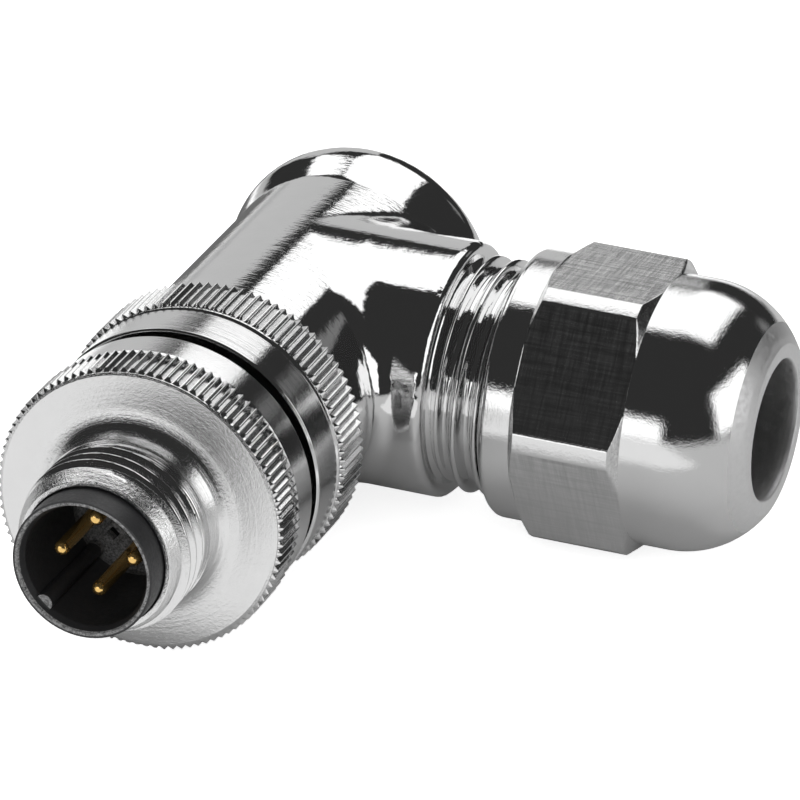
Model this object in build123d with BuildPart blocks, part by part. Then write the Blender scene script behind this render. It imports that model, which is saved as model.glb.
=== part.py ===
from build123d import *
import os
from math import cos, pi, radians, sin

os.makedirs("parts", exist_ok=True)

# Right-angle M12 cable connector with four contact pins, a metal body and a cable gland.
# Millimetres. The mating axis runs along Y with the pins towards -Y, and the cable leaves along +X.
# The origin lies on the mating axis, in the plane of the flange that the mating socket seats on.

# Mating thread and the flange behind it
thread_radius = 6.0
thread_end = -7.1
thread_tip_radius = 5.2
thread_tip_length = 1.5
thread_back = -2.4
neck_radius = 5.5
neck_fillet = 1.3
rim_edge_bevel = 0.1
rim_length = 5.9
rim_back_chamfer = 0.2

# Knurled rims
ring_wall = 1.92
knurl_depth = 0.32
knurl_teeth = 100
front_knurl_start = 0.2
front_knurl_length = 3.1
rear_knurl_length = 3.6
knurl_end_bevel = 0.12

# Snap ring that keeps the coupling screw on the insert
screw_web_back = 1.7
snap_groove_depth = 0.4
snap_groove_width = 0.8
snap_ring_width = 0.7
snap_ring_height = 1.4
snap_ring_gap = 3.0
snap_gap_reach = 2.5

# Plastic contact carrier
shroud_radius = 4.8
shroud_end = -9.1
shroud_bore_radius = 4.2
shroud_lead_width = 0.28
shroud_lead_depth = 0.6
contact_floor = -0.2
carrier_radius = 5.47
carrier_shoulder = 2.4
carrier_back = 8.5
key_radius = 3.6
key_width = 1.15
key_setback = 0.35
floor_web_height = 0.5
floor_web_width = 1.1
floor_hole_side = 0.7
floor_hole_radius = 2.1
floor_hole_depth = 1.5

# Contact pins and their screw terminals
pin_count = 4
pin_circle_radius = 2.5
pin_turn = 3.4
key_position = 225
pin_radius = 0.5
pin_tip = -6.9
pin_tip_round = 0.42
pin_collar_radius = 0.8
pin_collar_length = 1.0
barrel_radius = 1.4
barrel_length = 9.2
barrel_step = 0.15
wire_hole_radius = 0.8
wire_hole_depth = 6.5
clamp_screw_radius = 0.65
clamp_head_radius = 1.0
clamp_head_length = 1.4
clamp_slot_width = 0.35
clamp_slot_depth = 0.5
clamp_screw_setback = 3.2
block_length = 10.6

# Metal sleeve round the contact carrier
sleeve_wall = 0.9
sleeve_lip_radius = 4.95
sleeve_collar_height = 1.2
sleeve_collar_length = 1.2
sleeve_flange_length = 1.6
sleeve_spigot_wall = 1.1
sleeve_spigot_length = 3.7
seal_section = 0.7
seal_groove_width = 1.0
seal_setback = 1.4

# Knurled union ring
ring_front = 7.3
ring_lip_length = 1.7
ring_edge_bevel = 0.25
ring_step_groove = 0.15
ring_band_length = 3.1
ring_step_length = 0.5

# Elbow housing
neck_wall = 1.1
housing_step = 0.75
branch_axis_y = 28.3
flare_start = 7.5
flare_mid = 9.9
flare_rise = 0.6
heel_end = 13.4
heel_inset = 1.25
heel_bulge = 0.6
heel_flat_radius = 2.5
heel_wall = 2.6
heel_bore_bevel = 1.7
heel_round = 0.2
branch_step = 0.05
branch_end = 11.9
branch_bevel = 0.35
branch_fillet = 1.4
branch_bore_radius = 5.3
gland_wall = 1.7
gland_thread_pitch = 1.5
gland_thread_depth = 0.85
gland_thread_crest = 0.375
gland_thread_flank = 0.375
gland_thread_relief = 0.5
gland_seat_start = 11.0
branch_mouth = 19.5

# Cable gland
shield_ring_length = 1.6
shield_ring_bore_radius = 4.2
seal_radius = 5.0
seal_bore_radius = 3.4
cage_finger_wall = 0.7
cage_fingers = 8
cage_slot_width = 1.0
cage_finger_reach = 6.2
cage_ring_height = 1.4
cage_gap = 2.5
cage_ring_length = 1.1
nut_thread_length = 7.4
collar_radius = 9.15
collar_round = 0.85
collar_length = 2.3
hex_length = 7.7
hex_across_flats = 18.0
hex_corner_radius = 10.05
hex_bevel_length = 0.55
hex_turn = -3.0
hex_sides = 6
dome_straight_length = 2.0
dome_length = 7.75
nut_face_land = 1.1
cable_hole_radius = 4.8
cable_hole_length = 0.7
nut_cone_radius = 6.9

# Clearances
screw_clearance = 0.08
thread_clearance = 0.08
stack_clearance = 0.3
press_clearance = 0.03
seal_clearance = 0.05

# Radii from the contacts outwards, worked out from the walls and clearances above
sleeve_bore_radius = carrier_radius + press_clearance
sleeve_radius = sleeve_bore_radius + sleeve_wall
sleeve_collar_radius = sleeve_radius + sleeve_collar_height
screw_cavity_radius = sleeve_collar_radius + stack_clearance
sleeve_spigot_radius = sleeve_bore_radius + sleeve_spigot_wall
housing_bore_radius = sleeve_spigot_radius + stack_clearance
union_thread_radius = housing_bore_radius + neck_wall
sleeve_flange_radius = union_thread_radius - stack_clearance
ring_lip_radius = sleeve_radius + stack_clearance
knurl_radius = union_thread_radius + thread_clearance + ring_wall
knurl_root = knurl_radius - knurl_depth
housing_radius = union_thread_radius + housing_step
flare_radius = housing_radius + flare_rise
heel_radius = housing_radius - heel_inset

# Radii from the cable outwards
cage_finger_bore_radius = seal_radius + stack_clearance
cage_finger_radius = cage_finger_bore_radius + cage_finger_wall
gland_seat_radius = cage_finger_radius + stack_clearance
gland_thread_radius = gland_seat_radius + gland_wall
branch_radius = housing_radius - branch_step
cage_ring_radius = cage_finger_radius + cage_ring_height
nut_face_radius = cable_hole_radius + nut_face_land

# Levels along the mating axis
collar_front = screw_web_back + stack_clearance
collar_back = collar_front + sleeve_collar_length
snap_groove_front = collar_back + stack_clearance
ring_seat = ring_front + ring_lip_length
flange_front = ring_seat + stack_clearance
flange_back = flange_front + sleeve_flange_length
union_neck_front = flange_back + stack_clearance
spigot_back = flange_back + sleeve_spigot_length
ring_knurl_front = ring_front + ring_band_length + ring_step_length
ring_back = ring_knurl_front + rear_knurl_length
housing_front = ring_back + stack_clearance
heel_back = branch_axis_y + heel_end
barrel_front = carrier_back + press_clearance
block_back = carrier_back + block_length
clamp_screw_y = block_back - clamp_screw_setback
barrel_circle_radius = pin_circle_radius + barrel_radius - pin_collar_radius - barrel_step
head_seat = barrel_circle_radius + barrel_radius
ring_band_radius = knurl_root

# Levels along the gland axis
cage_ring_start = branch_mouth + cage_gap
cage_face = cage_ring_start + cage_ring_length
nut_seat = cage_face + stack_clearance
nut_back = nut_seat - nut_thread_length
hex_start = nut_back + collar_length
hex_end = hex_start + hex_length
dome_straight = hex_end + dome_straight_length
nut_face = hex_end + dome_length

gland_axis = Axis((0, branch_axis_y, 0), (1, 0, 0))
pin_angles = [index * 360 / pin_count + pin_turn for index in range(pin_count)]
key_angle = key_position + pin_turn


def turned(points, axis=Axis.Y, radii=None, mode=Mode.ADD):
    """Turn a closed outline round an axis. Points are (radius, y), or (x, y) for the gland."""
    with BuildSketch(Plane.XY) as outline:
        with BuildLine():
            if radii:
                FilletPolyline(*points, radius=radii, close=True)
            else:
                Polyline(*points, close=True)
        make_face()
    revolve(outline.sketch, axis=axis, mode=mode)


def gland_points(points):
    """Move (distance along the gland, radius) points onto the gland axis."""
    return [(along, branch_axis_y + radius) for along, radius in points]


def turned_gland(points, radii=None, mode=Mode.ADD):
    """Turn a closed outline of (distance along the gland, radius) points round the gland axis."""
    turned(gland_points(points), axis=gland_axis, radii=radii, mode=mode)


def radial_plane(angle, radius):
    """A plane square to a spoke of the mating axis, at a clamp screw's level."""
    spoke = Vector(cos(radians(angle)), 0, sin(radians(angle)))
    origin = spoke * radius + Vector(0, clamp_screw_y, 0)
    return Plane(origin=origin, x_dir=(0, 1, 0), z_dir=spoke)


def gland_thread_points():
    """Crests and roots of the gland thread, as (distance along the gland, radius)."""
    root = gland_thread_radius - gland_thread_depth
    first_crest = branch_end + gland_thread_relief + gland_thread_pitch / 2
    crest_half = gland_thread_crest / 2
    foot_half = crest_half + gland_thread_flank
    points = [(branch_end, root)]
    for turn in range(int((branch_mouth - first_crest) / gland_thread_pitch)):
        crest = first_crest + turn * gland_thread_pitch
        points += [(crest - foot_half, root), (crest - crest_half, gland_thread_radius)]
        points += [(crest + crest_half, gland_thread_radius), (crest + foot_half, root)]
    return points + [(branch_mouth, root)]


def knurled_band(front, length):
    """Straight V teeth round the mating axis, bevelled at both ends."""
    tooth = 2 * pi / knurl_teeth
    tips = [(knurl_radius, tooth * index) for index in range(knurl_teeth)]
    roots = [(knurl_root, tooth * (index + 0.5)) for index in range(knurl_teeth)]
    corners = [corner for pair in zip(tips, roots) for corner in pair]
    with BuildSketch(Plane.XZ.offset(-front)) as teeth:
        with BuildLine():
            Polyline(*[(r * cos(a), r * sin(a)) for r, a in corners], close=True)
        make_face()
    extrude(teeth.sketch, amount=-length)
    turned(
        [
            (0, front),
            (knurl_root, front),
            (knurl_radius, front + knurl_end_bevel),
            (knurl_radius, front + length - knurl_end_bevel),
            (knurl_root, front + length),
            (0, front + length),
        ],
        mode=Mode.INTERSECT,
    )


# Coupling screw: one turned piece with the mating thread, the flange and a knurled rim
with BuildPart() as coupling_screw:
    knurled_band(front_knurl_start, front_knurl_length)
    screw_bore_radius = shroud_radius + screw_clearance
    turned(
        [
            (0, thread_end),
            (thread_tip_radius, thread_end),
            (thread_radius, thread_end + thread_tip_length),
            (thread_radius, thread_back),
            (neck_radius, thread_back + (thread_radius - neck_radius)),
            (neck_radius, 0),
            (knurl_root - rim_edge_bevel, 0),
            (knurl_root, rim_edge_bevel),
            (knurl_root, rim_length - rim_back_chamfer),
            (knurl_root - rim_back_chamfer, rim_length),
            (0, rim_length),
        ],
        radii=[0, 0, 0, 0, 0, neck_fillet, 0, 0, 0, 0, 0],
    )
    snap_groove_radius = screw_cavity_radius + snap_groove_depth
    turned(
        [
            (0, thread_end),
            (screw_bore_radius, thread_end),
            (screw_bore_radius, screw_web_back),
            (screw_cavity_radius, screw_web_back),
            (screw_cavity_radius, snap_groove_front),
            (snap_groove_radius, snap_groove_front),
            (snap_groove_radius, snap_groove_front + snap_groove_width),
            (screw_cavity_radius, snap_groove_front + snap_groove_width),
            (screw_cavity_radius, rim_length),
            (0, rim_length),
        ],
        mode=Mode.SUBTRACT,
    )

# Snap ring: an open wire ring in the coupling screw's groove, behind the sleeve's collar
with BuildPart() as snap_ring:
    snap_front = snap_groove_front + (snap_groove_width - snap_ring_width) / 2
    snap_ring_radius = snap_groove_radius - seal_clearance
    snap_ring_inner_radius = snap_ring_radius - snap_ring_height
    with BuildSketch(Plane.XZ.offset(-snap_front)):
        Circle(snap_ring_radius)
        Circle(snap_ring_inner_radius, mode=Mode.SUBTRACT)
        with Locations((0, snap_ring_inner_radius)):
            Rectangle(snap_ring_gap, 2 * snap_gap_reach, mode=Mode.SUBTRACT)
    extrude(amount=-snap_ring_width)

# Insert sleeve: the metal tube that carries the contacts, the coupling screw and the union ring
with BuildPart() as insert_sleeve:
    turned(
        [
            (sleeve_lip_radius, collar_front),
            (sleeve_collar_radius, collar_front),
            (sleeve_collar_radius, collar_back),
            (sleeve_radius, collar_back),
            (sleeve_radius, flange_front),
            (sleeve_flange_radius, flange_front),
            (sleeve_flange_radius, flange_back),
            (sleeve_spigot_radius, flange_back),
            (sleeve_spigot_radius, spigot_back),
            (sleeve_bore_radius, spigot_back),
            (sleeve_bore_radius, carrier_shoulder),
            (sleeve_lip_radius, carrier_shoulder),
        ]
    )
    groove_middle = flange_back + seal_setback
    groove_root = housing_bore_radius - seal_clearance - seal_section - press_clearance
    with BuildSketch(Plane.XY):
        with Locations(((sleeve_spigot_radius + groove_root) / 2, groove_middle)):
            Rectangle(sleeve_spigot_radius - groove_root, seal_groove_width)
    revolve(axis=Axis.Y, mode=Mode.SUBTRACT)

# Sleeve seal: an O-ring in the spigot's groove
with BuildPart() as sleeve_seal:
    with BuildSketch(Plane.XY):
        with Locations((groove_root + press_clearance + seal_section / 2, groove_middle)):
            Circle(seal_section / 2)
    revolve(axis=Axis.Y)

# Contact carrier: the plastic shroud with its key, floor and four pin holes
with BuildPart() as contact_carrier:
    turned(
        [
            (0, contact_floor),
            (shroud_bore_radius, contact_floor),
            (shroud_bore_radius, shroud_end + shroud_lead_depth),
            (shroud_bore_radius + shroud_lead_width, shroud_end),
            (shroud_radius, shroud_end),
            (shroud_radius, carrier_shoulder + press_clearance),
            (carrier_radius, carrier_shoulder + press_clearance),
            (carrier_radius, carrier_back),
            (0, carrier_back),
        ]
    )
    # Key rib along the shroud's wall, with a rounded crest
    key_plane = Plane.XZ.offset(-contact_floor)
    key_length = contact_floor - (shroud_end + key_setback)
    key_crest = key_radius + key_width / 2
    key_foot = (shroud_bore_radius + shroud_radius) / 2
    with BuildSketch(key_plane):
        with Locations(Location((0, 0, 0), (0, 0, key_angle))):
            with Locations(((key_crest + key_foot) / 2, 0)):
                Rectangle(key_foot - key_crest, key_width)
            with Locations((key_crest, 0)):
                Circle(key_width / 2)
    extrude(amount=key_length)
    # Raised web across the floor between the pins, and a small square hole beside the key
    with BuildSketch(Plane.XZ.offset(-contact_floor)):
        with Locations(Location((0, 0, 0), (0, 0, key_angle))):
            Rectangle(2 * pin_circle_radius, floor_web_width)
            Rectangle(floor_web_width, 2 * pin_circle_radius)
    extrude(amount=floor_web_height)
    with BuildSketch(Plane.XZ.offset(-contact_floor - floor_hole_depth)):
        with Locations(Location((0, 0, 0), (0, 0, key_angle))):
            with Locations((floor_hole_radius, 0)):
                Rectangle(floor_hole_side, floor_hole_side)
    extrude(amount=floor_hole_depth + floor_web_height, mode=Mode.SUBTRACT)
    with BuildSketch(Plane.XZ.offset(-carrier_back)):
        with PolarLocations(pin_circle_radius, pin_count, start_angle=pin_turn):
            Circle(pin_radius + press_clearance)
    extrude(amount=carrier_back - contact_floor + floor_web_height, mode=Mode.SUBTRACT)
    with BuildSketch(Plane.XZ.offset(-carrier_back)):
        with PolarLocations(pin_circle_radius, pin_count, start_angle=pin_turn):
            Circle(pin_collar_radius + press_clearance)
    extrude(amount=pin_collar_length + press_clearance, mode=Mode.SUBTRACT)

# Terminal block: the plastic rear half of the insert, with four barrel pockets and screw shafts
with BuildPart() as terminal_block:
    with BuildSketch(Plane.XZ.offset(-barrel_front)):
        Circle(carrier_radius)
    extrude(amount=-(block_back - barrel_front))
    with BuildSketch(Plane.XZ.offset(-barrel_front)):
        with PolarLocations(barrel_circle_radius, pin_count, start_angle=pin_turn):
            Circle(barrel_radius + press_clearance)
    extrude(amount=-(barrel_length + press_clearance), mode=Mode.SUBTRACT)
    with BuildSketch(Plane.XZ.offset(-block_back)):
        with PolarLocations(barrel_circle_radius, pin_count, start_angle=pin_turn):
            Circle(wire_hole_radius + press_clearance)
    extrude(amount=block_back - barrel_front, mode=Mode.SUBTRACT)
    for angle in pin_angles:
        with BuildSketch(radial_plane(angle, barrel_circle_radius)):
            Circle(clamp_head_radius + seal_clearance)
        extrude(amount=carrier_radius, mode=Mode.SUBTRACT)


def contact_pin(angle):
    """One turned contact: rounded tip, shaft, collar and the barrel that takes the wire."""
    spoke = Vector(cos(radians(angle)), sin(radians(angle)))
    pin_spot = spoke * pin_circle_radius
    barrel_spot = spoke * barrel_circle_radius
    with BuildPart() as pin:
        with BuildSketch(Plane.XZ.offset(-pin_tip)):
            with Locations(pin_spot):
                Circle(pin_radius)
        extrude(amount=-(barrel_front - pin_tip))
        fillet(pin.faces().sort_by(Axis.Y)[0].edges(), pin_tip_round)
        with BuildSketch(Plane.XZ.offset(-(carrier_back - pin_collar_length))):
            with Locations(pin_spot):
                Circle(pin_collar_radius)
        extrude(amount=-(pin_collar_length + press_clearance))
        with BuildSketch(Plane.XZ.offset(-barrel_front)):
            with Locations(barrel_spot):
                Circle(barrel_radius)
        extrude(amount=-barrel_length)
        with BuildSketch(Plane.XZ.offset(-(barrel_front + barrel_length))):
            with Locations(barrel_spot):
                Circle(wire_hole_radius)
        extrude(amount=wire_hole_depth, mode=Mode.SUBTRACT)
        with BuildSketch(radial_plane(angle, barrel_circle_radius)):
            Circle(clamp_screw_radius + press_clearance)
        extrude(amount=barrel_radius + pin_radius, mode=Mode.SUBTRACT)
    return pin


def terminal_screw(angle):
    """One slotted clamp screw, square to the mating axis, with its foot in the wire hole."""
    with BuildPart() as screw:
        with BuildSketch(radial_plane(angle, barrel_circle_radius)):
            Circle(clamp_screw_radius)
        extrude(amount=head_seat - barrel_circle_radius)
        with BuildSketch(radial_plane(angle, head_seat)):
            Circle(clamp_head_radius)
        extrude(amount=clamp_head_length)
        with BuildSketch(radial_plane(angle, head_seat + clamp_head_length)):
            Rectangle(2 * clamp_head_radius, clamp_slot_width)
        extrude(amount=-clamp_slot_depth, mode=Mode.SUBTRACT)
    return screw


contact_pins = [contact_pin(angle) for angle in pin_angles]
terminal_screws = [terminal_screw(angle) for angle in pin_angles]

# Union ring: one turned piece with a lip, a smooth band and a knurled rim
with BuildPart() as union_ring:
    knurled_band(ring_knurl_front, rear_knurl_length)
    turned(
        [
            (0, ring_front),
            (ring_band_radius - ring_edge_bevel, ring_front),
            (ring_band_radius, ring_front + ring_edge_bevel),
            (ring_band_radius, ring_front + ring_band_length),
            (ring_band_radius - ring_step_groove, ring_front + ring_band_length),
            (ring_band_radius - ring_step_groove, ring_knurl_front - ring_step_length / 2),
            (knurl_root, ring_knurl_front),
            (knurl_root, ring_back),
            (0, ring_back),
        ]
    )
    turned(
        [
            (0, ring_front),
            (ring_lip_radius, ring_front),
            (ring_lip_radius, ring_seat),
            (union_thread_radius + thread_clearance, ring_seat),
            (union_thread_radius + thread_clearance, ring_back),
            (0, ring_back),
        ],
        mode=Mode.SUBTRACT,
    )

# Elbow housing: one casting with a flared heel, the union thread and the gland's branch
with BuildPart() as elbow_housing:
    flare_front = branch_axis_y + flare_start
    heel_front = branch_axis_y + flare_mid
    turned(
        [
            (0, union_neck_front),
            (union_thread_radius, union_neck_front),
            (union_thread_radius, housing_front),
            (housing_radius, housing_front),
            (housing_radius, heel_back - branch_fillet),
            (0, heel_back - branch_fillet),
        ]
    )
    turned_gland(
        [
            (0, 0),
            (0, branch_radius),
            (branch_end - branch_bevel, branch_radius),
            (branch_end, branch_radius - branch_bevel),
            (branch_end, 0),
        ]
    )
    turned_kinds = (GeomType.LINE, GeomType.CIRCLE)
    crease = [edge for edge in elbow_housing.edges() if edge.geom_type not in turned_kinds]
    fillet(crease, branch_fillet)
    with BuildSketch(Plane.XY):
        with BuildLine():
            Polyline((0, flare_front), (housing_radius, flare_front), (flare_radius, heel_front))
            heel_side = ThreePointArc(
                (flare_radius, heel_front),
                (flare_radius - heel_round, (heel_front + heel_back) / 2 + heel_round),
                (heel_radius, heel_back),
            )
            crown_edge = (heel_flat_radius, heel_back + heel_bulge)
            TangentArc(crown_edge, heel_side @ 1, tangent=(1, 0))
            Polyline(crown_edge, (0, heel_back + heel_bulge), (0, flare_front))
        make_face()
    revolve(axis=Axis.Y)
    turned_gland([(branch_end, 0)] + gland_thread_points() + [(branch_mouth, 0)])
    turned(
        [
            (0, union_neck_front),
            (housing_bore_radius, union_neck_front),
            (housing_bore_radius, heel_back - heel_wall - heel_bore_bevel),
            (housing_bore_radius - heel_bore_bevel, heel_back - heel_wall),
            (0, heel_back - heel_wall),
        ],
        mode=Mode.SUBTRACT,
    )
    turned_gland(
        [
            (0, 0),
            (0, branch_bore_radius),
            (gland_seat_start, branch_bore_radius),
            (gland_seat_start, gland_seat_radius),
            (branch_mouth, gland_seat_radius),
            (branch_mouth, 0),
        ],
        mode=Mode.SUBTRACT,
    )

# Shield ring: the metal cone that the cable's braid is folded over
with BuildPart() as shield_ring:
    shield_radius = gland_seat_radius - press_clearance
    turned_gland(
        [
            (gland_seat_start, shield_ring_bore_radius),
            (gland_seat_start, shield_radius),
            (gland_seat_start + shield_ring_length, shield_radius),
            (gland_seat_start + shield_ring_length, shield_ring_bore_radius + stack_clearance),
            (gland_seat_start + shield_ring_length - stack_clearance, shield_ring_bore_radius),
        ]
    )

# Cable seal: the rubber tube that grips the cable
with BuildPart() as cable_seal:
    seal_start = gland_seat_start + shield_ring_length
    seal_lip = seal_radius - seal_bore_radius
    turned_gland(
        [
            (seal_start, seal_bore_radius),
            (seal_start, seal_radius),
            (branch_mouth, seal_radius),
            (branch_mouth, seal_bore_radius + seal_lip / 2),
            (branch_mouth - seal_lip / 2, seal_bore_radius),
        ]
    )

# Clamping cage: a plastic ring whose fingers reach over the seal
with BuildPart() as clamping_cage:
    finger_tip = cage_ring_start - cage_finger_reach
    turned_gland(
        [
            (finger_tip, cage_finger_bore_radius),
            (finger_tip, cage_finger_radius),
            (cage_ring_start, cage_finger_radius),
            (cage_ring_start, cage_ring_radius),
            (cage_face, cage_ring_radius),
            (cage_face, cage_finger_bore_radius - stack_clearance),
            (cage_ring_start, cage_finger_bore_radius - stack_clearance),
            (cage_ring_start, cage_finger_bore_radius),
        ]
    )
    with BuildSketch(Plane.YZ.offset(finger_tip)):
        with Locations((branch_axis_y, 0)):
            with PolarLocations(0, cage_fingers // 2, angular_range=180):
                Rectangle(2 * cage_ring_radius, cage_slot_width)
    extrude(amount=cage_finger_reach, mode=Mode.SUBTRACT)

# Gland nut: one piece with a rounded collar, a hexagon turned at its corners and a dome
with BuildPart() as gland_nut:
    turned_gland(
        [
            (hex_start, 0),
            (hex_start, collar_radius),
            (hex_start + hex_bevel_length, hex_corner_radius),
            (hex_end - hex_bevel_length, hex_corner_radius),
            (hex_end, collar_radius),
            (hex_end, 0),
        ]
    )
    with BuildSketch(Plane.YZ.offset(hex_start)):
        with Locations(Location((branch_axis_y, 0, 0), (0, 0, hex_turn))):
            RegularPolygon(hex_across_flats / 2, hex_sides, major_radius=False)
    extrude(amount=hex_end - hex_start, mode=Mode.INTERSECT)
    turned_gland(
        [(nut_back, 0), (nut_back, collar_radius), (hex_start, collar_radius), (hex_start, 0)],
        radii=[0, collar_round, 0, 0],
    )
    with BuildSketch(Plane.XY) as dome_outline:
        with BuildLine():
            collar_line = branch_axis_y + collar_radius
            dome_side = Line((hex_end, collar_line), (dome_straight, collar_line))
            dome_edge = (nut_face, branch_axis_y + nut_face_radius)
            TangentArc(dome_side @ 1, dome_edge, tangent=(1, 0))
            Polyline(dome_edge, (nut_face, branch_axis_y), (hex_end, branch_axis_y), dome_side @ 0)
        make_face()
    revolve(axis=gland_axis)
    turned_gland(
        [
            (nut_back, 0),
            (nut_back, gland_thread_radius + thread_clearance),
            (nut_seat, gland_thread_radius + thread_clearance),
            (nut_seat, nut_cone_radius),
            (nut_face - cable_hole_length, cable_hole_radius),
            (nut_face, cable_hole_radius),
            (nut_face, 0),
        ],
        mode=Mode.SUBTRACT,
    )

pieces = {
    "coupling_screw": coupling_screw,
    "snap_ring": snap_ring,
    "insert_sleeve": insert_sleeve,
    "sleeve_seal": sleeve_seal,
    "contact_carrier": contact_carrier,
    "terminal_block": terminal_block,
    "union_ring": union_ring,
    "elbow_housing": elbow_housing,
    "shield_ring": shield_ring,
    "cable_seal": cable_seal,
    "clamping_cage": clamping_cage,
    "gland_nut": gland_nut,
}
for number, pin in enumerate(contact_pins, start=1):
    pieces[f"contact_pin_{number}"] = pin
for number, screw in enumerate(terminal_screws, start=1):
    pieces[f"terminal_screw_{number}"] = screw

for name, piece in pieces.items():
    piece.part.label = name
    export_step(piece.part, f"parts/{name}.step")
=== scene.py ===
import math

import bpy
import numpy as np
from mathutils import Matrix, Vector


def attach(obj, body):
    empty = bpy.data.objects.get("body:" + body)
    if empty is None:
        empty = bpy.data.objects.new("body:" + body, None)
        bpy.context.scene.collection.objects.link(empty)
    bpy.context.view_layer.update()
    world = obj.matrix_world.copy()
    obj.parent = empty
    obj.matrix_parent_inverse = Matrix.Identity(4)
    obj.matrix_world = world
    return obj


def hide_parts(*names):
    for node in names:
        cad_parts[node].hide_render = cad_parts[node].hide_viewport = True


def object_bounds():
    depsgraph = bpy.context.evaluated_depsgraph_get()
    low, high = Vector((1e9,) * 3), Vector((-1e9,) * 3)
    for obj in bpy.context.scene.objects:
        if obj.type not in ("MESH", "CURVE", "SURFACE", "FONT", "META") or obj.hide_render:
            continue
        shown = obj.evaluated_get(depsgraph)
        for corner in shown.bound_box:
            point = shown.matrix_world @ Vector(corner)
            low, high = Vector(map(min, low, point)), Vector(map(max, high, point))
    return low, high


# Sizes are in millimetres here and become metres when a mesh is made.
# The mating axis is Y, and the gland axis runs along +X at branch_y.
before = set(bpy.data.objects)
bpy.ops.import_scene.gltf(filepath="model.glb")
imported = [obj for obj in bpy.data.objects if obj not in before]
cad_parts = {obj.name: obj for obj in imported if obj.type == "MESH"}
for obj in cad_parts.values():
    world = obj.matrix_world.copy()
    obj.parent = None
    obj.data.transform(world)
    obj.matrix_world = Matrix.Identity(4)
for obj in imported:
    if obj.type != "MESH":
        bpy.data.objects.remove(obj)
cad_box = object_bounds()
mm = 0.001
full_turn = 2 * math.pi
branch_y = 28.3
floor_top = float(cad_box[0][2]) / mm


# Meshes
def linked(name, data):
    """A new object of a mesh, lamp or camera, in the scene."""
    thing = bpy.data.objects.new(name, data)
    bpy.context.scene.collection.objects.link(thing)
    return thing


def mesh_of(name, verts, faces):
    mesh = bpy.data.meshes.new(name)
    places = [tuple(v) for v in np.asarray(verts) * mm]
    mesh.from_pydata(places, [], [tuple(int(i) for i in face) for face in faces])
    return mesh


def make_object(name, verts, faces, material, body, crease=None):
    """A smooth piece that rides a body. Edges sharper than crease, in degrees, stay sharp."""
    mesh = mesh_of(name, verts, faces)
    mesh.validate()
    mesh.shade_smooth()
    if crease:
        mesh.set_sharp_from_angle(angle=math.radians(crease))
    mesh.materials.append(material)
    piece = linked(name, mesh)
    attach(piece, body)
    return piece


def rounded(points, radii):
    """Round the corners of a closed (along, radius) outline, with a support point beside each rounding."""
    arc_steps, support = 4, 0.05
    longest_cut = 0.45
    nearly_straight = math.radians(89.5)
    out = []
    for i in range(len(points)):
        corner, before, after = (np.array(points[j % len(points)], float) for j in (i, i - 1, i + 1))
        run_before, run_after = np.linalg.norm(before - corner), np.linalg.norm(after - corner)
        u, v = (before - corner) / run_before, (after - corner) / run_after
        half = math.acos(float(np.clip(u @ v, -1, 1))) / 2
        if radii[i] <= 0 or half > nearly_straight:
            out.append(corner)
            continue
        cut = min(radii[i] / math.tan(half), run_before * longest_cut, run_after * longest_cut)
        radius = cut * math.tan(half)
        centre = corner + (u + v) / np.linalg.norm(u + v) * radius / math.sin(half)
        start, end = corner + u * cut, corner + v * cut
        first, last = (math.atan2(*(q - centre)[::-1]) for q in (start, end))
        turn = (last - first + math.pi) % full_turn - math.pi
        if cut + support < run_before / 2:
            out.append(start + u * support)
        for k in range(arc_steps + 1):
            angle = first + turn * k / arc_steps
            out.append(centre + radius * np.array([math.cos(angle), math.sin(angle)]))
        if cut + support < run_after / 2:
            out.append(end + v * support)
    return np.array(out)


def split_runs(outline, longest):
    """Split each run of a closed outline into equal steps, none longer than longest(start, end)."""
    out = []
    for start, end in zip(outline, np.roll(outline, -1, 0)):
        count = max(1, math.ceil(np.linalg.norm(end - start) / longest(start, end)))
        out += [start + (end - start) * k / count for k in range(count)]
    return np.array(out)


def lathe(profile, angles, axis, change):
    """A ring from a closed (along, radius) outline, whose radius change(along, radius, angle) alters."""
    along = np.repeat(profile[:, :1], len(angles), 1)
    radius = np.repeat(profile[:, 1:], len(angles), 1)
    angle = np.repeat(angles[None, :], len(profile), 0)
    radius = change(along, radius, angle)
    if axis == "Y":
        verts = np.stack([radius * np.cos(angle), along, radius * np.sin(angle)], -1)
    else:
        verts = np.stack([along, branch_y + radius * np.cos(angle), radius * np.sin(angle)], -1)
    verts = verts.reshape(-1, 3)
    grid = np.arange(along.size).reshape(along.shape)
    down, side = np.roll(grid, -1, 0), np.roll(grid, -1, 1)
    both = np.roll(down, -1, 1)
    faces = np.stack([grid, down, both, side], -1).reshape(-1, 4)
    a, b, c, d = (verts[faces[:, k]] for k in range(4))
    volume = np.einsum("ij,ij->i", np.cross(b - a, c - a), a + b + c).sum()
    volume += np.einsum("ij,ij->i", np.cross(c - a, d - a), a + c + d).sum()
    if volume < 0:
        faces = faces[:, ::-1]
    return verts, faces


def join_parts(parts):
    """Several meshes of quads as one."""
    all_verts, all_faces, base = [], [], 0
    for verts, faces in parts:
        all_verts.append(verts)
        all_faces.append(faces + base)
        base += len(verts)
    return np.vstack(all_verts), np.vstack(all_faces)


def even(count):
    return np.linspace(0, full_turn, count, endpoint=False)


# Materials
def add(tree, kind, inputs=(), **settings):
    """A new node with its settings. Each input, by name or number, gets a value or a link."""
    node = tree.nodes.new(kind)
    for key, value in settings.items():
        setattr(node, key, value)
    for key, value in dict(inputs).items():
        if isinstance(value, bpy.types.NodeSocket):
            tree.links.new(value, node.inputs[key])
        else:
            node.inputs[key].default_value = value
    return node


def millimetres(tree):
    """The place on the part, in its own frame."""
    coord = add(tree, "ShaderNodeTexCoord").outputs["Object"]
    return add(tree, "ShaderNodeVectorMath", {0: coord, "Scale": 1 / mm}, operation="SCALE").outputs[0]


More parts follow.
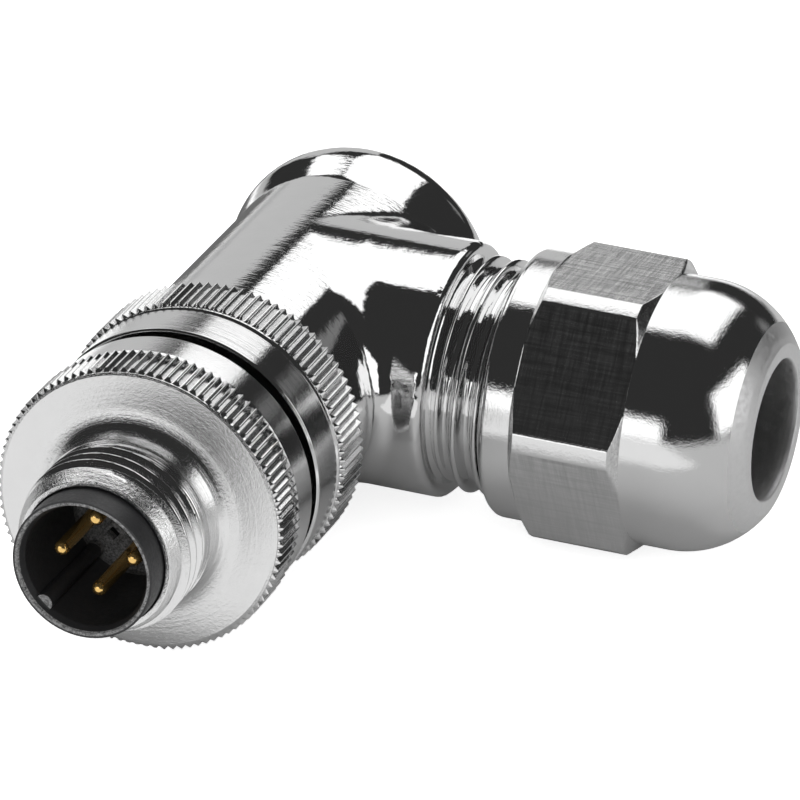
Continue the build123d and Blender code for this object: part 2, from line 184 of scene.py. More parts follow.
def noise(tree, vector, scale=1.0, detail=3.0, rough=0.55, stretch=None):
    if stretch is not None:
        vector = add(tree, "ShaderNodeMapping", {"Vector": vector, "Scale": stretch}).outputs["Vector"]
    inputs = {"Vector": vector, "Scale": scale, "Detail": detail, "Roughness": rough}
    return add(tree, "ShaderNodeTexNoise", inputs).outputs["Fac"]


def ranged(tree, value, low, high, start=0.0, end=1.0):
    """low to high as the value goes from start to end."""
    inputs = {"Value": value, "From Min": start, "From Max": end, "To Min": low, "To Max": high}
    return add(tree, "ShaderNodeMapRange", inputs).outputs["Result"]


def spread(tree, value, low, high):
    """The range that noise mostly keeps to, from low to high."""
    return ranged(tree, value, low, high, 0.3, 0.7)


def bump(tree, height, strength, distance, before=None):
    """Relief of a height in metres, on top of the relief before it."""
    inputs = {"Height": height, "Strength": strength, "Distance": distance}
    if before is not None:
        inputs["Normal"] = before
    return add(tree, "ShaderNodeBump", inputs).outputs["Normal"]


def product(tree, first, second):
    return add(tree, "ShaderNodeMath", {0: first, 1: second}, operation="MULTIPLY").outputs[0]


def mixed(tree, factor, first, second, blend="MIX"):
    """Two colours mixed. A Mix node's sockets 6 and 7 and its output 2 are those for colour."""
    inputs = {"Factor": factor, 6: first, 7: second}
    return add(tree, "ShaderNodeMix", inputs, data_type="RGBA", blend_type=blend).outputs[2]


def turned_coords(tree, place, axis):
    """(radius, along, 0) round the mating axis (Y) or the gland axis (X)."""
    apart = add(tree, "ShaderNodeSeparateXYZ", {0: place}).outputs
    if axis == "Y":
        beside, along = apart["X"], apart["Y"]
    else:
        beside = add(tree, "ShaderNodeMath", {0: apart["Y"], 1: branch_y}, operation="SUBTRACT").outputs[0]
        along = apart["X"]
    flat = add(tree, "ShaderNodeCombineXYZ", {"X": beside, "Z": apart["Z"]}).outputs[0]
    radius = add(tree, "ShaderNodeVectorMath", {0: flat}, operation="LENGTH").outputs["Value"]
    return add(tree, "ShaderNodeCombineXYZ", {"X": radius, "Y": along}).outputs[0]


def between(tree, turned, low, high, channel="Y"):
    """1 where the place along the axis (Y) or the radius (X) lies from low to high."""
    value = add(tree, "ShaderNodeSeparateXYZ", {0: turned}).outputs[channel]
    inputs = {0: value, 1: (low + high) / 2, 2: (high - low) / 2}
    return add(tree, "ShaderNodeMath", inputs, operation="COMPARE").outputs[0]


def fading_downwards(tree, place):
    """1 on the upper side and less below, so the brushing and its darker weave fade downwards."""
    height = add(tree, "ShaderNodeSeparateXYZ", {0: place}).outputs["Z"]
    return ranged(tree, height, low=0.2, high=1.0, start=-4.0, end=8.0)


def relief(tree, place, turned, axis, peel, torn, lines, grain):
    """The bumps of plated metal, one on top of the other."""
    along_axis = (0.7, 3.6, 0.7) if axis == "Y" else (3.6, 0.7, 0.7)
    kinds = (
        (peel, 0.0004, place, dict(scale=1.1, detail=2.0)),
        (torn, 0.0001, place, dict(detail=2.5, rough=0.6, stretch=along_axis)),
        (lines, 0.00004, turned, dict(detail=2.0, rough=0.6, stretch=(14.0, 14.0, 1.0))),
        (grain, 0.00006, place, dict(scale=7.0, rough=0.65)),
    )
    normal = None
    for strength, distance, vector, texture in kinds:
        if strength:
            normal = bump(tree, noise(tree, vector, **texture), strength, distance, normal)
    return normal


def metal(name, color, roughness, peel=0.0, torn=0.0, grain=0.0, lines=0.0, axis="Y",
          satin=(), hatch=None, inside=None, metallic=1.0):
    """Metal with soft unevenness (peel), torn reflections, sparkling grain and the lines of turning.

    Each satin band along the axis is only turned, not polished. hatch = (strength, low, high) crosses it
    with brushing between two radii, and inside = (roughness, low, high) dulls what lies between two.
    """
    material = bpy.data.materials.new(name)
    material.use_nodes = True
    tree = material.node_tree
    place = millimetres(tree)
    turned = turned_coords(tree, place, axis)
    normal = relief(tree, place, turned, axis, peel, torn, lines, grain)
    rough = spread(tree, noise(tree, place, 3.0), roughness * 0.8, roughness * 1.25)
    darker, lighter = ((*(c * shade for c in color), 1) for shade in (0.97, 1.03))
    tint = mixed(tree, noise(tree, place, 0.6, detail=4.0), darker, lighter)
    height = 0.0001
    for band in satin:
        mask = between(tree, turned, band["low"], band["high"])
        marks = noise(tree, turned, rough=0.7, stretch=(3.5, 3.5, 1.0))
        normal = bump(tree, product(tree, marks, mask), band["lines"], height, normal)
        specks = noise(tree, place, 4.0, rough=0.8)
        normal = bump(tree, product(tree, specks, mask), band["grain"], height, normal)
        if hatch:
            strength, low, high = hatch
            across = noise(tree, place, detail=2.0, rough=0.7, stretch=(4.5, 0.3, 0.3))
            lengthways = noise(tree, place, detail=2.0, rough=0.7, stretch=(0.2, 4.5, 4.5))
            mask = product(tree, mask, between(tree, turned, low, high, "X"))
            # The brushing and its darker weave fade towards the bottom.
            mask = product(tree, mask, fading_downwards(tree, place))
            for scratches in (across, lengthways):
                normal = bump(tree, product(tree, scratches, mask), strength, height, normal)
            weave = product(tree, spread(tree, across, 0.66, 1.24), spread(tree, lengthways, 0.66, 1.24))
            tint = mixed(tree, mask, tint, weave, "MULTIPLY")
        rough = product(tree, rough, ranged(tree, mask, 1.0, band["roughness"] / roughness))
    if inside:
        inner_roughness, low, high = inside
        bore = between(tree, turned, low, high, "X")
        rough = product(tree, rough, ranged(tree, bore, 1.0, inner_roughness / roughness))
    shader = tree.nodes["Principled BSDF"]
    shader.inputs["Metallic"].default_value = metallic
    tree.links.new(tint, shader.inputs["Base Color"])
    tree.links.new(rough, shader.inputs["Roughness"])
    tree.links.new(normal, shader.inputs["Normal"])
    return material


def plastic(name, color, roughness, grain, specular=0.5, sheen_bands=()):
    """Moulded plastic or rubber, with a painted sheen of light grey specks where it lies in a sheen band.
    """
    material = bpy.data.materials.new(name)
    material.use_nodes = True
    tree = material.node_tree
    place = millimetres(tree)
    fine = noise(tree, place, 5.0, detail=4.0, rough=0.7)
    darker, lighter = ((*(c * shade for c in color), 1) for shade in (0.6, 1.5))
    tint = mixed(tree, fine, darker, lighter)
    # Painted sheen: light grey specks painted on the faces where light catches the black plastic.
    if sheen_bands:
        sheen_speckle = spread(tree, noise(tree, place, 6.0, detail=2.0, rough=0.8), 0.0, 1.0)
        turned = turned_coords(tree, place, "Y")
    for rim in sheen_bands:
        along = between(tree, turned, rim["low"], rim["high"])
        ring = between(tree, turned, rim["inner"], rim["outer"], "X")
        factor = product(tree, product(tree, along, ring), sheen_speckle)
        tint = mixed(tree, factor, tint, (rim["pale"], rim["pale"], rim["pale"], 1))
    rough = spread(tree, noise(tree, place, 4.0, detail=4.0), roughness * 0.85, roughness * 1.2)
    shader = tree.nodes["Principled BSDF"]
    shader.inputs["Specular IOR Level"].default_value = specular
    tree.links.new(tint, shader.inputs["Base Color"])
    tree.links.new(rough, shader.inputs["Roughness"])
    tree.links.new(bump(tree, fine, grain, 0.00005), shader.inputs["Normal"])
    return material


nickel = (0.80, 0.80, 0.80)
flange_face = dict(low=-0.25, high=0.12, roughness=0.22, lines=0.17, grain=0.4)
neck_rounding = dict(low=-1.95, high=-0.25, roughness=0.14, lines=0.3, grain=0.2)
thread_chamfer = dict(low=-7.2, high=-5.55, roughness=0.15, lines=0.2, grain=0.5)
hexagon_band = dict(low=18.3, high=26.0, roughness=0.16, lines=0.0, grain=0.12)

housing_metal = metal("housing_chrome", nickel, 0.05, peel=0.03, torn=0.08, grain=0.05)
screw_metal = metal("screw_chrome", nickel, 0.09, grain=0.12, lines=0.15,
                    satin=[flange_face, neck_rounding, thread_chamfer])
ring_metal = metal("ring_chrome", nickel, 0.07, peel=0.02, grain=0.06, lines=0.2)
nut_metal = metal("nut_chrome", nickel, 0.05, peel=0.03, grain=0.14, lines=0.08, axis="X",
                  satin=[hexagon_band], hatch=(0.12, 8.9, 10.0), inside=(0.5, 4.0, 7.1))
sleeve_metal = metal("sleeve_chrome", nickel, 0.12, grain=0.05, lines=0.2)
gold_metal = metal("contact_gold", (0.95, 0.62, 0.22), 0.16, grain=0.05, metallic=0.95)
steel_metal = metal("plain_steel", (0.5, 0.5, 0.51), 0.3, grain=0.1, lines=0.2)

# Painted sheen on the carrier's front rim and key end, and painted light on the floor inside the shroud, as
# light grey specks on black plastic.
shroud_edge_sheen = dict(low=-9.4, high=-8.95, inner=4.2, outer=4.66, pale=0.34)
key_end_sheen = dict(low=-9.4, high=-8.7, inner=0.0, outer=4.15, pale=0.3)
shroud_floor_light = dict(low=-0.75, high=-0.1, inner=0.0, outer=4.2, pale=0.24)
carrier_plastic = plastic("carrier_black", (0.016, 0.016, 0.017), 0.42, 0.35,
                          sheen_bands=[shroud_edge_sheen, key_end_sheen, shroud_floor_light])
cage_plastic = plastic("cage_black", (0.09, 0.09, 0.09), 0.5, 0.2)
seal_rubber = plastic("seal_black", (0.09, 0.09, 0.09), 0.7, 0.2, 0.3)

# The solids that show as they are
node_materials = {
    "snap_ring": steel_metal,
    "insert_sleeve": sleeve_metal,
    "sleeve_seal": seal_rubber,
    "contact_carrier": carrier_plastic,
    "terminal_block": cage_plastic,
    "shield_ring": sleeve_metal,
    "cable_seal": seal_rubber,
    "clamping_cage": cage_plastic,
}
for number in range(1, 5):
    node_materials[f"contact_pin_{number}"] = gold_metal
    node_materials[f"terminal_screw_{number}"] = steel_metal
for node, material in node_materials.items():
    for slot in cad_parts[node].material_slots:
        slot.material = material

# Rims of both rings. A tooth is drawn by places along its pitch and how deep each lies, both as shares
band_radius, knurl_radius, knurl_foot = 9.68, 10.0, 9.69
knurl_depth, knurl_bevel = 0.32, 0.12
teeth = 100
tooth_marks = np.array([0.0, 0.05, 0.10, 0.15, 0.455, 0.545, 0.85, 0.90, 0.95])
tooth_drop = np.array([0.0, 0.03, 0.11, 0.235, 1.0, 1.0, 0.235, 0.11, 0.03])
knurl_angles = ((np.arange(teeth)[:, None] + tooth_marks) / teeth * full_turn).ravel()
knurl_floor = knurl_radius - knurl_depth * np.tile(tooth_drop, teeth)


def knurled(low, high):
    """Cut the teeth between two places along the mating axis."""
    slack = 1e-6

    def change(along, radius, _):
        toothed = (along > low - slack) & (along < high + slack) & (radius > knurl_foot)
        return np.where(toothed, np.minimum(radius, knurl_floor), radius)

    return change


def ridged(phase, crest, flank):
    """0 on a thread's crest and 1 in its root, with straight flanks and soft corners. All in pitches."""
    straightness = 6
    t = (np.abs(phase - 0.5) - crest / 2 - flank / 2) / (flank / 2)
    return 0.5 + 0.5 * t / (1 + np.abs(t) ** straightness) ** (1 / straightness)


# Coupling screw. The face of its flange is at face_y
tip_y, chamfer_y, thread_end_y, face_y = -7.1, -5.6, -2.3, 0.0
tip_radius, turned_radius, neck_radius, bore_radius = 5.2, 5.98, 5.5, 4.88
m12_radius, m12_depth, m12_pitch = 6.0, 0.52, 1.0
run_out_y, run_out_length = -2.75, 0.35
neck_round = 1.9
under_rim_y, under_rim_radius = 1.7, 9.6


def m12_thread(along, radius, angle):
    """Cut the mating thread's helix into the front tube, and let it run out before the neck."""
    phase = (along / m12_pitch - angle / full_turn) % 1.0
    cut = m12_radius - m12_depth * ridged(phase, 0.14, 0.3)
    fade = np.clip((along - run_out_y) / run_out_length, 0, 1)
    cut = cut * (1 - fade) + np.minimum(cut, neck_radius) * fade
    outer = (along < thread_end_y) & (along > tip_y + 0.05) & (radius > tip_radius + 0.01)
    return np.where(outer, np.minimum(radius, cut), radius)


def front_step(start, end):
    """Fine on the thread and coarse where nothing shows."""
    if end[0] <= thread_end_y and min(start[1], end[1]) > neck_radius:
        return 0.04
    return 0.25 if start[0] < -1 else 0.8


# The tube with the flange is turned in one mesh and the knurled rim in another, which overlaps its edge
neck_arc = [
    (face_y + neck_round * (math.sin(t) - 1), neck_radius + neck_round * (1 - math.cos(t)))
    for t in np.linspace(0, math.pi / 2, 14)
]
flange_edge = [(face_y, 9.5), (0.1, band_radius), (0.26, band_radius + 0.005), (0.5, under_rim_radius)]
front_outline = rounded(
    [(tip_y, tip_radius), (chamfer_y, turned_radius), (thread_end_y, turned_radius)]
    + neck_arc + flange_edge
    + [(under_rim_y, under_rim_radius), (under_rim_y, bore_radius), (tip_y, bore_radius)],
    [0.05, 0, 0] + [0] * len(neck_arc) + [0.05, 0.03, 0, 0] + [0, 0, 0.05],
)
tube = lathe(split_runs(front_outline, front_step), even(288), "Y", m12_thread)

rim_start, rim_end = 0.2, 3.3
rim_inner, back_inner, back_end = 9.4, 7.9, 6.15
rim_outline = rounded(
    [(0.16, rim_inner), (0.16, 9.67), (rim_start, 9.70), (rim_start + knurl_bevel, knurl_radius),
     (rim_end - knurl_bevel, knurl_radius), (rim_end, knurl_foot), (3.5, 9.6), (3.7, band_radius),
     (6.0, band_radius), (back_end, 9.53), (back_end, back_inner), (1.66, back_inner), (1.66, rim_inner)],
    [0, 0, 0, 0, 0, 0.05, 0.05, 0.1, 0.05, 0.05, 0.05, 0, 0],
)
rim = lathe(split_runs(rim_outline, lambda start, end: 1.2), knurl_angles, "Y", knurled(rim_start, rim_end))
verts, faces = join_parts([tube, rim])
coupling = make_object("coupling_screw_metal", verts, faces, screw_metal, "coupling", crease=40)
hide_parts("coupling_screw")

# Union ring
ring_front, lip_back, ring_back = 7.2, 9.0, 14.5
lip_radius, ring_bore, groove_floor = 6.7, 8.08, 9.5
toothed_from = 10.9
ring_outline = rounded(
    [(ring_front, lip_radius), (ring_front, 9.54), (7.34, band_radius), (10.4, band_radius),
     (10.42, groove_floor), (10.62, groove_floor), (10.78, band_radius), (toothed_from, 9.70),
     (toothed_from + knurl_bevel, knurl_radius), (ring_back - knurl_bevel, knurl_radius),
     (ring_back, knurl_foot), (ring_back, ring_bore), (lip_back, ring_bore), (lip_back, lip_radius)],
    [0.05, 0.08, 0.08, 0.04, 0.03, 0.03, 0.03, 0, 0, 0, 0, 0.05, 0.05, 0.05],
)
ring_profile = split_runs(ring_outline, lambda start, end: 1.0)
verts, faces = lathe(ring_profile, knurl_angles, "Y", knurled(toothed_from, ring_back))
union = make_object("union_ring_metal", verts, faces, ring_metal, "union", crease=40)
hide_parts("union_ring")

# Gland nut. The columns of its mesh are gathered at the hexagon's corners
nut_start, hex_start, hex_end, dome_start, nut_end = 16.0, 18.3, 26.0, 28.0, 33.75
collar_radius, corner_radius, nut_bore, cable_hole = 9.15, 10.05, 8.08, 4.8
flat_radius, hex_slope = 9.0, 0.55
dome_round, dome_height = 6.71, 5.6
sixth = math.pi / 3
hex_turn = np.radians(27.0)
half_sector = list(range(0, 25, 2)) + [25, 25.6, 26.0, 26.3, 26.6, 26.9, 27.3, 28, 29]
sector = np.radians([-30] + [-a for a in half_sector[:0:-1]] + half_sector)
nut_angles = (sector + hex_turn + np.arange(6)[:, None] * sixth).ravel()


def soft_min(a, b, k):
    """The lesser of two values, blended where they differ by less than k."""
    h = np.clip(0.5 + 0.5 * (b - a) / k, 0, 1)
    return b * (1 - h) + a * h - k * h * (1 - h)


def hexed(along, radius, angle):
    """Cut six flats into the band between the collar and the dome, with soft edges."""
    off_middle = (angle - hex_turn + sixth / 2) % sixth - sixth / 2
    flat = flat_radius / np.cos(off_middle)
    cut = np.maximum(soft_min(radius, flat, 0.06), flat_radius - 0.02)
    band = (along > hex_start + 0.01) & (along < hex_end - 0.01) & (radius > collar_radius + 0.01)
    return np.where(band, cut, radius)


def nut_step(start, end):
    """Fine on the hexagon, whose edges run across the mesh."""
    along, radius = (start + end) / 2
    return 0.1 if hex_start < along < hex_end and radius > collar_radius - 0.05 else 0.5


collar_and_hexagon = rounded(
    [(nut_start, nut_bore), (nut_start, collar_radius), (hex_start, collar_radius),
     (hex_start + hex_slope, corner_radius), (hex_end - hex_slope, corner_radius),
     (hex_end, collar_radius), (dome_start, collar_radius)],
    [0.1, 0.8, 0.04, 0.06, 0.06, 0.04, 0.0],
)[:-1]
dome = [
    (dome_start + dome_round * math.sin(t), collar_radius - dome_round + dome_round * math.cos(t))
    for t in np.linspace(0, math.asin(dome_height / dome_round), 20)
]
mouth = [
    (nut_end - 0.09, 5.93), (nut_end - 0.03, 5.86), (nut_end, 5.75), (nut_end, 5.0), (nut_end - 0.02, 4.86),
    (nut_end - 0.09, cable_hole), (nut_end - 0.7, cable_hole), (23.4, 6.9), (23.4, nut_bore),
]
nut_outline = np.vstack([collar_and_hexagon, dome, mouth])
verts, faces = lathe(split_runs(nut_outline, nut_step), nut_angles, "X", hexed)
nut = make_object("gland_nut_metal", verts, faces, nut_metal, "nut")
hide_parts("gland_nut")


# Elbow housing
def outline_distance(x, y, points):
    """Signed distance to a closed polygon, negative inside."""
    best = np.full(x.shape, np.inf)
    inside = np.zeros(x.shape, bool)
    for (ax, ay), (bx, by) in zip(points, points[1:] + points[:1]):
        ex, ey = bx - ax, by - ay
        px, py = x - ax, y - ay
        h = np.clip((px * ex + py * ey) / (ex * ex + ey * ey), 0, 1)
        best = np.minimum(best, (px - ex * h) ** 2 + (py - ey * h) ** 2)
        if ey:
            inside ^= ((ay <= y) != (by <= y)) & (x < ax + ex * py / ey)
    best = np.sqrt(best)
    return np.where(inside, -best, best)


def arc3(a, m, b, n):
    """Points on the circle through a, m and b."""
    (ax, ay), (mx, my), (bx, by) = a, m, b
    d = 2 * (ax * (my - by) + mx * (by - ay) + bx * (ay - my))
    a2, m2, b2 = ax**2 + ay**2, mx**2 + my**2, bx**2 + by**2
    ux = (a2 * (my - by) + m2 * (by - ay) + b2 * (ay - my)) / d
    uy = (a2 * (bx - mx) + m2 * (ax - bx) + b2 * (mx - ax)) / d
    r = math.hypot(ax - ux, ay - uy)
    first, last = math.atan2(ay - uy, ax - ux), math.atan2(by - uy, bx - ux)
    turn = (last - first + math.pi) % full_turn - math.pi
    angles = [first + turn * k / n for k in range(n + 1)]
    return [(ux + r * math.cos(angle), uy + r * math.sin(angle)) for angle in angles]


def mirrored(half):
    """A closed outline from its half on one side of the axis."""
    return half + [(-radius, along) for radius, along in half[::-1]]


# Outlines of (radius, along), along the mating axis for tube, heel and bore, along the gland for the rest
tube_radius, branch_radius, fillet_radius = 8.75, 8.7, 1.4
heel_back, heel_edge, crown_edge, crown_height = 41.7, 7.5, 2.5, 0.6
tube_outline = mirrored([(tube_radius, 14.8), (tube_radius, 40.3)])
heel_side = arc3((9.35, 38.2), (9.15, 40.15), (heel_edge, heel_back), 12)
crown_width = heel_edge - crown_edge
crown_round = (crown_width**2 + crown_height**2) / (2 * crown_height)
heel_crown = [
    (crown_edge + crown_round * math.sin(t), heel_back + crown_height - crown_round * (1 - math.cos(t)))
    for t in np.linspace(math.asin(crown_width / crown_round), 0, 6)
][1:]
heel_outline = mirrored([(tube_radius, 35.8)] + heel_side + heel_crown)
bore_outline = mirrored([(6.9, 10.0), (6.9, 37.4), (5.2, 39.1)])
branch_outline = mirrored([(branch_radius, 0.3), (branch_radius, 11.55), (branch_radius - 0.35, 11.9)])
branch_bore = mirrored([(5.3, -1.0), (5.3, 11.0), (6.3, 11.0), (6.3, 13.0)])


def housing_field(p):
    """Signed distance to the casting: tube and branch joined by a fillet, then the heel, less the bores."""
    x, y, z = p.T
    from_tube_axis = np.hypot(x, z)
    from_branch_axis = np.hypot(y - branch_y, z)
    tube = outline_distance(from_tube_axis, y, tube_outline)
    branch = outline_distance(from_branch_axis, x, branch_outline)
    heel = outline_distance(from_tube_axis, y, heel_outline)
    # Tube and branch are level on top, so the fillet starts from nothing there
    fillet = np.minimum(fillet_radius, 0.03 + 0.055 * np.maximum(x, 0) ** 2)
    round_off = np.hypot(np.maximum(fillet - tube, 0), np.maximum(fillet - branch, 0))
    body = np.maximum(fillet, np.minimum(tube, branch)) - round_off
    bore = outline_distance(from_tube_axis, y, bore_outline)
    hollow = np.minimum(bore, outline_distance(from_branch_axis, x, branch_bore))
    return np.maximum(np.minimum(body, heel), -hollow)


def at_corner(values, corner):
    """The grid's values at one corner of every cell. The corner is 0 or 1 along each axis."""
    return values[tuple(slice(c, c + n - 1) for c, n in zip(corner, values.shape))]


def edge_crossings(values):
    """For every cell, how many of its edges cross zero, and the sum of the places where they do."""
    count = np.zeros([n - 1 for n in values.shape])
    place = np.zeros([*count.shape, 3])
    for start in np.ndindex(2, 2, 2):
        for k in range(3):
            if start[k]:
                continue
            end = tuple(c + (m == k) for m, c in enumerate(start))
            before, after = at_corner(values, start), at_corner(values, end)
            crossed = (before < 0) != (after < 0)
            share = np.where(crossed, before / np.where(before == after, 1, before - after), 0)
            count += crossed
            for m in range(3):
                place[..., m] += crossed * (start[m] + (share if m == k else 0))
    return count, place


def net_faces(inside, index):
    """A quad round each grid edge that leaves the solid. index numbers the cells in use, or is -1."""
    faces = []
    for k in range(3):
        m, n = (k + 1) % 3, (k + 2) % 3
        near, far = [slice(None)] * 3, [slice(None)] * 3
        near[k], far[k] = slice(0, -1), slice(1, None)
        before, after = inside[tuple(near)], inside[tuple(far)]
        for order, mask in ((1, before & ~after), (-1, ~before & after)):
            edges = np.argwhere(mask)
            edges = edges[(edges[:, m] > 0) & (edges[:, n] > 0)]
            loop = []
            for step_m, step_n in ((-1, -1), (0, -1), (0, 0), (-1, 0)):
                cells = edges.copy()
                cells[:, m] += step_m
                cells[:, n] += step_n
                cells = np.minimum(cells, np.array(index.shape) - 1)
                loop.append(index[tuple(cells.T)])
            faces.append(np.stack(loop, -1)[:, ::order])
    faces = np.vstack(faces)
    return faces[(faces >= 0).all(1)]


def settled(field, verts, step):
    """The points moved onto the field's zero level, along its slope."""
    tiny, longest = step * 0.02, step * 0.5
    for _ in range(3):
        slope = [(field(verts + d) - field(verts - d)) / (2 * tiny) for d in np.eye(3) * tiny]
        slope = np.stack(slope, -1)
        steepness = np.maximum((slope**2).sum(1), 0.25)
        move = slope * (field(verts) / steepness)[:, None]
        verts = verts - np.clip(move, -longest, longest)
    return verts


def surface_net(field, low, high, step):
    """A mesh of a field's zero level, with one point in each cell of a grid that the level crosses."""
    axes = [np.arange(low[k], high[k] + step, step) for k in range(3)]
    points = np.stack(np.meshgrid(*axes, indexing="ij"), -1).reshape(-1, 3)
    batch = 400000
    values = np.concatenate([field(points[k:k + batch]) for k in range(0, len(points), batch)])
    values = values.reshape([len(axis) for axis in axes])
    count, place = edge_crossings(values)
    used = count > 0
    index = np.full(used.shape, -1)
    index[used] = np.arange(used.sum())
    verts = (np.argwhere(used) + place[used] / count[used][:, None]) * step + np.array(low)
    return settled(field, verts, step), net_faces(values < 0, index)


cell = 0.26
shell = surface_net(housing_field, (-9.8, 14.3, -9.9), (12.6, 42.9, 9.9), cell)

# Threads of the housing, which sink into the shell
housing_thread_radius = 8.0
union_depth, union_pitch = 0.5, 1.0
gland_depth, gland_pitch = 0.85, 1.5
gland_shoulder, gland_start, first_ridge, gland_end = 11.4, 12.0, 12.4, 19.5


def union_thread(along, radius, angle):
    phase = (along / union_pitch + angle / full_turn) % 1.0
    outer = (radius > 7.9) & (along > 11.3) & (along < 14.2)
    return np.where(outer, housing_thread_radius - union_depth * ridged(phase, 0.16, 0.3), radius)


def gland_thread(along, radius, angle):
    """Ridges that rise from nothing at the branch's end."""
    phase = ((along - first_ridge) / gland_pitch + angle / full_turn) % 1.0
    outer = (radius > 7.0) & (along > 11.9) & (along < gland_end - 0.1)
    growth = np.clip((along - gland_start) / 0.8, 0, 1)
    ridge = gland_depth * (1 - ridged(phase, 0.18, 0.27)) * growth
    return np.where(outer, housing_thread_radius - gland_depth + ridge, radius)


def step_outside(radius):
    """Fine steps outside a radius and long ones on what the shell hides."""
    return lambda start, end: 0.08 if min(start[1], end[1]) > radius else 1.5


neck_outline = np.array([(11.2, 7.0), (11.2, 7.75), (11.4, 8.0), (15.2, 8.0), (15.2, 7.0)])
gland_outline = np.array([(gland_shoulder, 6.4), (gland_shoulder, 7.9), (gland_end - 0.3, 7.9),
                          (gland_end, 7.5), (gland_end, 6.4)])
neck = lathe(split_runs(neck_outline, step_outside(7.7)), even(180), "Y", union_thread)
gland = lathe(split_runs(gland_outline, step_outside(7.4)), even(240), "X", gland_thread)
verts, faces = join_parts([shell, neck, gland])
housing = make_object("elbow_housing_metal", verts, faces, housing_metal, "elbow")
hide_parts("elbow_housing")


# Camera and studio. Azimuth 0 is in front of the pins, and 90 degrees is beyond the gland
def outwards(azimuth, elevation):
    """The directions away from the part and level to the right of it, from angles in radians."""
    level = math.cos(elevation)
    away = np.array([math.sin(azimuth) * level, -math.cos(azimuth) * level, math.sin(elevation)])
    return away, np.array([math.cos(azimuth), math.sin(azimuth), 0.0])


def placed(centre, right, up, back):
    """The matrix that puts a camera or lamp at a place, looking away from back."""
    turn = Matrix(np.column_stack([right, up, back]).tolist()).to_4x4()
    return Matrix.Translation((np.asarray(centre) * mm).tolist()) @ turn


azimuth, elevation, roll = (math.radians(degrees) for degrees in (20.497, 25.921, 1.708))
distance, shift_right, shift_up = 549.925, 6.643, -4.138
image_side, focal_pixels, sensor_width = 800.0, 8166.6, 36.0
back, level_right = outwards(azimuth, elevation)
level_up = np.cross(back, level_right)
right = math.cos(roll) * level_right + math.sin(roll) * level_up
up = -math.sin(roll) * level_right + math.cos(roll) * level_up
spot = back * distance + right * shift_right + up * shift_up + np.array([0, branch_y, 0])
camera = linked("camera", bpy.data.cameras.new("camera"))
camera.matrix_world = placed(spot, right, up, back)
camera.data.sensor_width = sensor_width
camera.data.lens = sensor_width * focal_pixels / image_side
camera.data.clip_start = 0.01
bpy.context.scene.camera = camera


def bare_material(name):
    """A new material without a shader, its node tree and the socket of its surface."""
    material = bpy.data.materials.new(name)
    material.use_nodes = True
    tree = material.node_tree
    tree.nodes.remove(tree.nodes["Principled BSDF"])
    return material, tree, tree.nodes["Material Output"].inputs["Surface"]


def glowing(name, strength):
    material, tree, surface = bare_material(name)
    tree.links.new(add(tree, "ShaderNodeEmission", {"Strength": strength}).outputs[0], surface)
    return material


def grey(tree, shade):
    return add(tree, "ShaderNodeBsdfDiffuse", {"Color": (shade, shade, shade, 1)}).outputs[0]


def sheet(name, centre, half_u, half_v, material):
    """A rectangle from its centre and half of each side."""
    centre, half_u, half_v = (np.array(v, float) for v in (centre, half_u, half_v))
    corners = [centre + i * half_u + j * half_v for i, j in ((-1, -1), (1, -1), (1, 1), (-1, 1))]
    thing = linked(name, mesh_of(name, corners, [(0, 1, 2, 3)]))
    thing.data.materials.append(material)
    return thing


def reflections_only(thing):
    """Hide a piece of the studio from all but glossy rays."""
    thing.visible_camera = False
    thing.visible_diffuse = False
    thing.visible_shadow = False
    thing.visible_transmission = False


def glow_card(name, centre, half_u, half_v, strength):
    """A plain glowing card that only reflections see."""
    reflections_only(sheet(name, centre, half_u, half_v, glowing(name, strength)))


def facing_card(name, azimuth, elevation, far, half_width, half_height, strength):
    """A card that faces the part, at angles in degrees."""
    away, side = outwards(math.radians(azimuth), math.radians(elevation))
    centre = away * far + np.array([5, 20, 0])
    glow_card(name, centre, side * half_width, np.cross(away, side) * half_height, strength)


def dark_room():
    """Dark walls round the cards, as in a studio for plated metal."""
    radius, strength = 1200.0, 0.032
    turns, rises = 24, 12
    verts = [
        (radius * math.cos(a) * math.cos(e), radius * math.sin(a) * math.cos(e), radius * math.sin(e))
        for e in np.radians(np.linspace(-88, 88, rises)) for a in np.radians(np.arange(turns) * 360 / turns)
    ]
    faces = [
        (r * turns + c, r * turns + (c + 1) % turns, (r + 1) * turns + (c + 1) % turns, (r + 1) * turns + c)
        for r in range(rises - 1) for c in range(turns)
    ]
    faces += [tuple(range(turns))[::-1], tuple((rises - 1) * turns + c for c in range(turns))]
    room = linked("dark_room", mesh_of("dark_room", verts, faces))
    room.data.materials.append(glowing("dark_room", strength))
    reflections_only(room)


box_glow = 1.35
dark_room()
glow_card("box_above", (-5, 390, 400), (180, 0, 0), (0, 345, 0), box_glow)
facing_card("box_left", -121, 42, 600, 190, 150, box_glow)
facing_card("box_right", 82, 19, 600, 250, 185, box_glow)
facing_card("box_front", -19, 5, 600, 180, 110, box_glow)
facing_card("wall_left", -152, 9.5, 800, 185, 225, 0.58)
facing_card("wall_right", 153, 17, 800, 60, 70, 0.2)
glow_card("floor_bright", (-34, 460, floor_top + 0.3), (39, 0, 0), (0, 420, 0), 1.2)
glow_card("floor_strip", (-40, 95, floor_top + 0.5), (-25, 36, 0), (0, 18, 0), 0.16)
glow_card("floor_front", (-45, -174, floor_top + 0.3), (95, 0, 0), (0, 170, 0), 0.9)


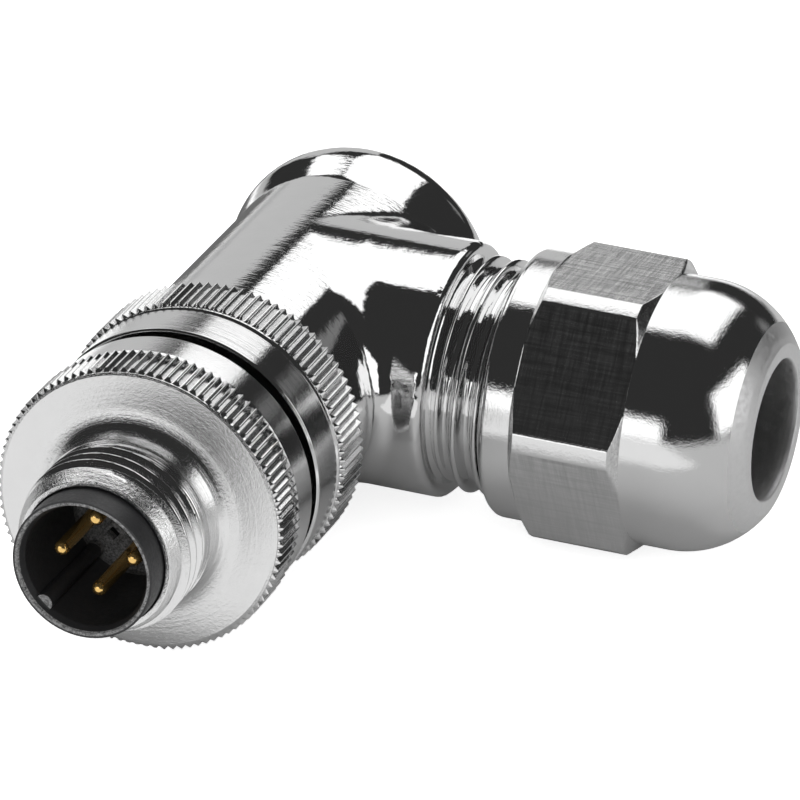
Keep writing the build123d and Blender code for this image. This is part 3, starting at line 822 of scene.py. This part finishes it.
def seen_white(tree, lit, shown):
    """Strength shown to the camera and in reflections, and lit for the rest."""
    path = add(tree, "ShaderNodeLightPath").outputs
    first = {0: path["Is Camera Ray"], 1: path["Is Glossy Ray"]}
    first = add(tree, "ShaderNodeMath", first, operation="MAXIMUM").outputs[0]
    second = {0: first, 1: path["Is Transmission Ray"]}
    second = add(tree, "ShaderNodeMath", second, operation="MAXIMUM").outputs[0]
    return ranged(tree, second, lit, shown)


world = bpy.data.worlds.new("studio")
bpy.context.scene.world = world
world.use_nodes = True
sky = world.node_tree.nodes["Background"].inputs
sky["Color"].default_value = (1, 1, 1, 1)
world.node_tree.links.new(seen_white(world.node_tree, 0.5, 1.0), sky["Strength"])

# The floor takes the object's shadow and adds what makes it white to the camera
floor_material, tree, surface = bare_material("floor_white")
glow = add(tree, "ShaderNodeEmission", {"Strength": seen_white(tree, 0.0, 0.8)}).outputs[0]
both = add(tree, "ShaderNodeAddShader", {0: grey(tree, 0.85), 1: glow})
tree.links.new(both.outputs[0], surface)
floor = sheet("floor", (0, 0, floor_top), (2000, 0, 0), (0, 2000, 0), floor_material)

# The grey sheet under the part, which the plated metal mirrors
sheet_material, tree, surface = bare_material("floor_grey")
tree.links.new(grey(tree, 0.55), surface)
mirrored_sheet = sheet("floor_grey", (0, 0, floor_top + 0.2), (1100, 0, 0), (0, 1100, 0), sheet_material)
reflections_only(mirrored_sheet)


def softbox(name, centre, aim, side, power):
    """A square lamp that lights the part but doesn't show in its reflections."""
    data = bpy.data.lights.new(name, "AREA")
    data.shape = "SQUARE"
    data.size = side * mm
    data.energy = power
    lamp = linked(name, data)
    back = np.array(centre, float) - np.array(aim, float)
    back /= np.linalg.norm(back)
    right = np.cross((0, 0, 1), back)
    right /= np.linalg.norm(right)
    lamp.matrix_world = placed(centre, right, np.cross(back, right), back)
    lamp.visible_glossy = False


softbox("top_lamp", (-20, 240, 420), (0, 20, 0), 400, 1.1)
softbox("front_lamp", (80, -420, 260), (0, 0, 0), 260, 0.7)
softbox("right_lamp", (480, -60, 200), (0, 20, 0), 260, 0.4)

bpy.context.scene.view_settings.view_transform = "Standard"
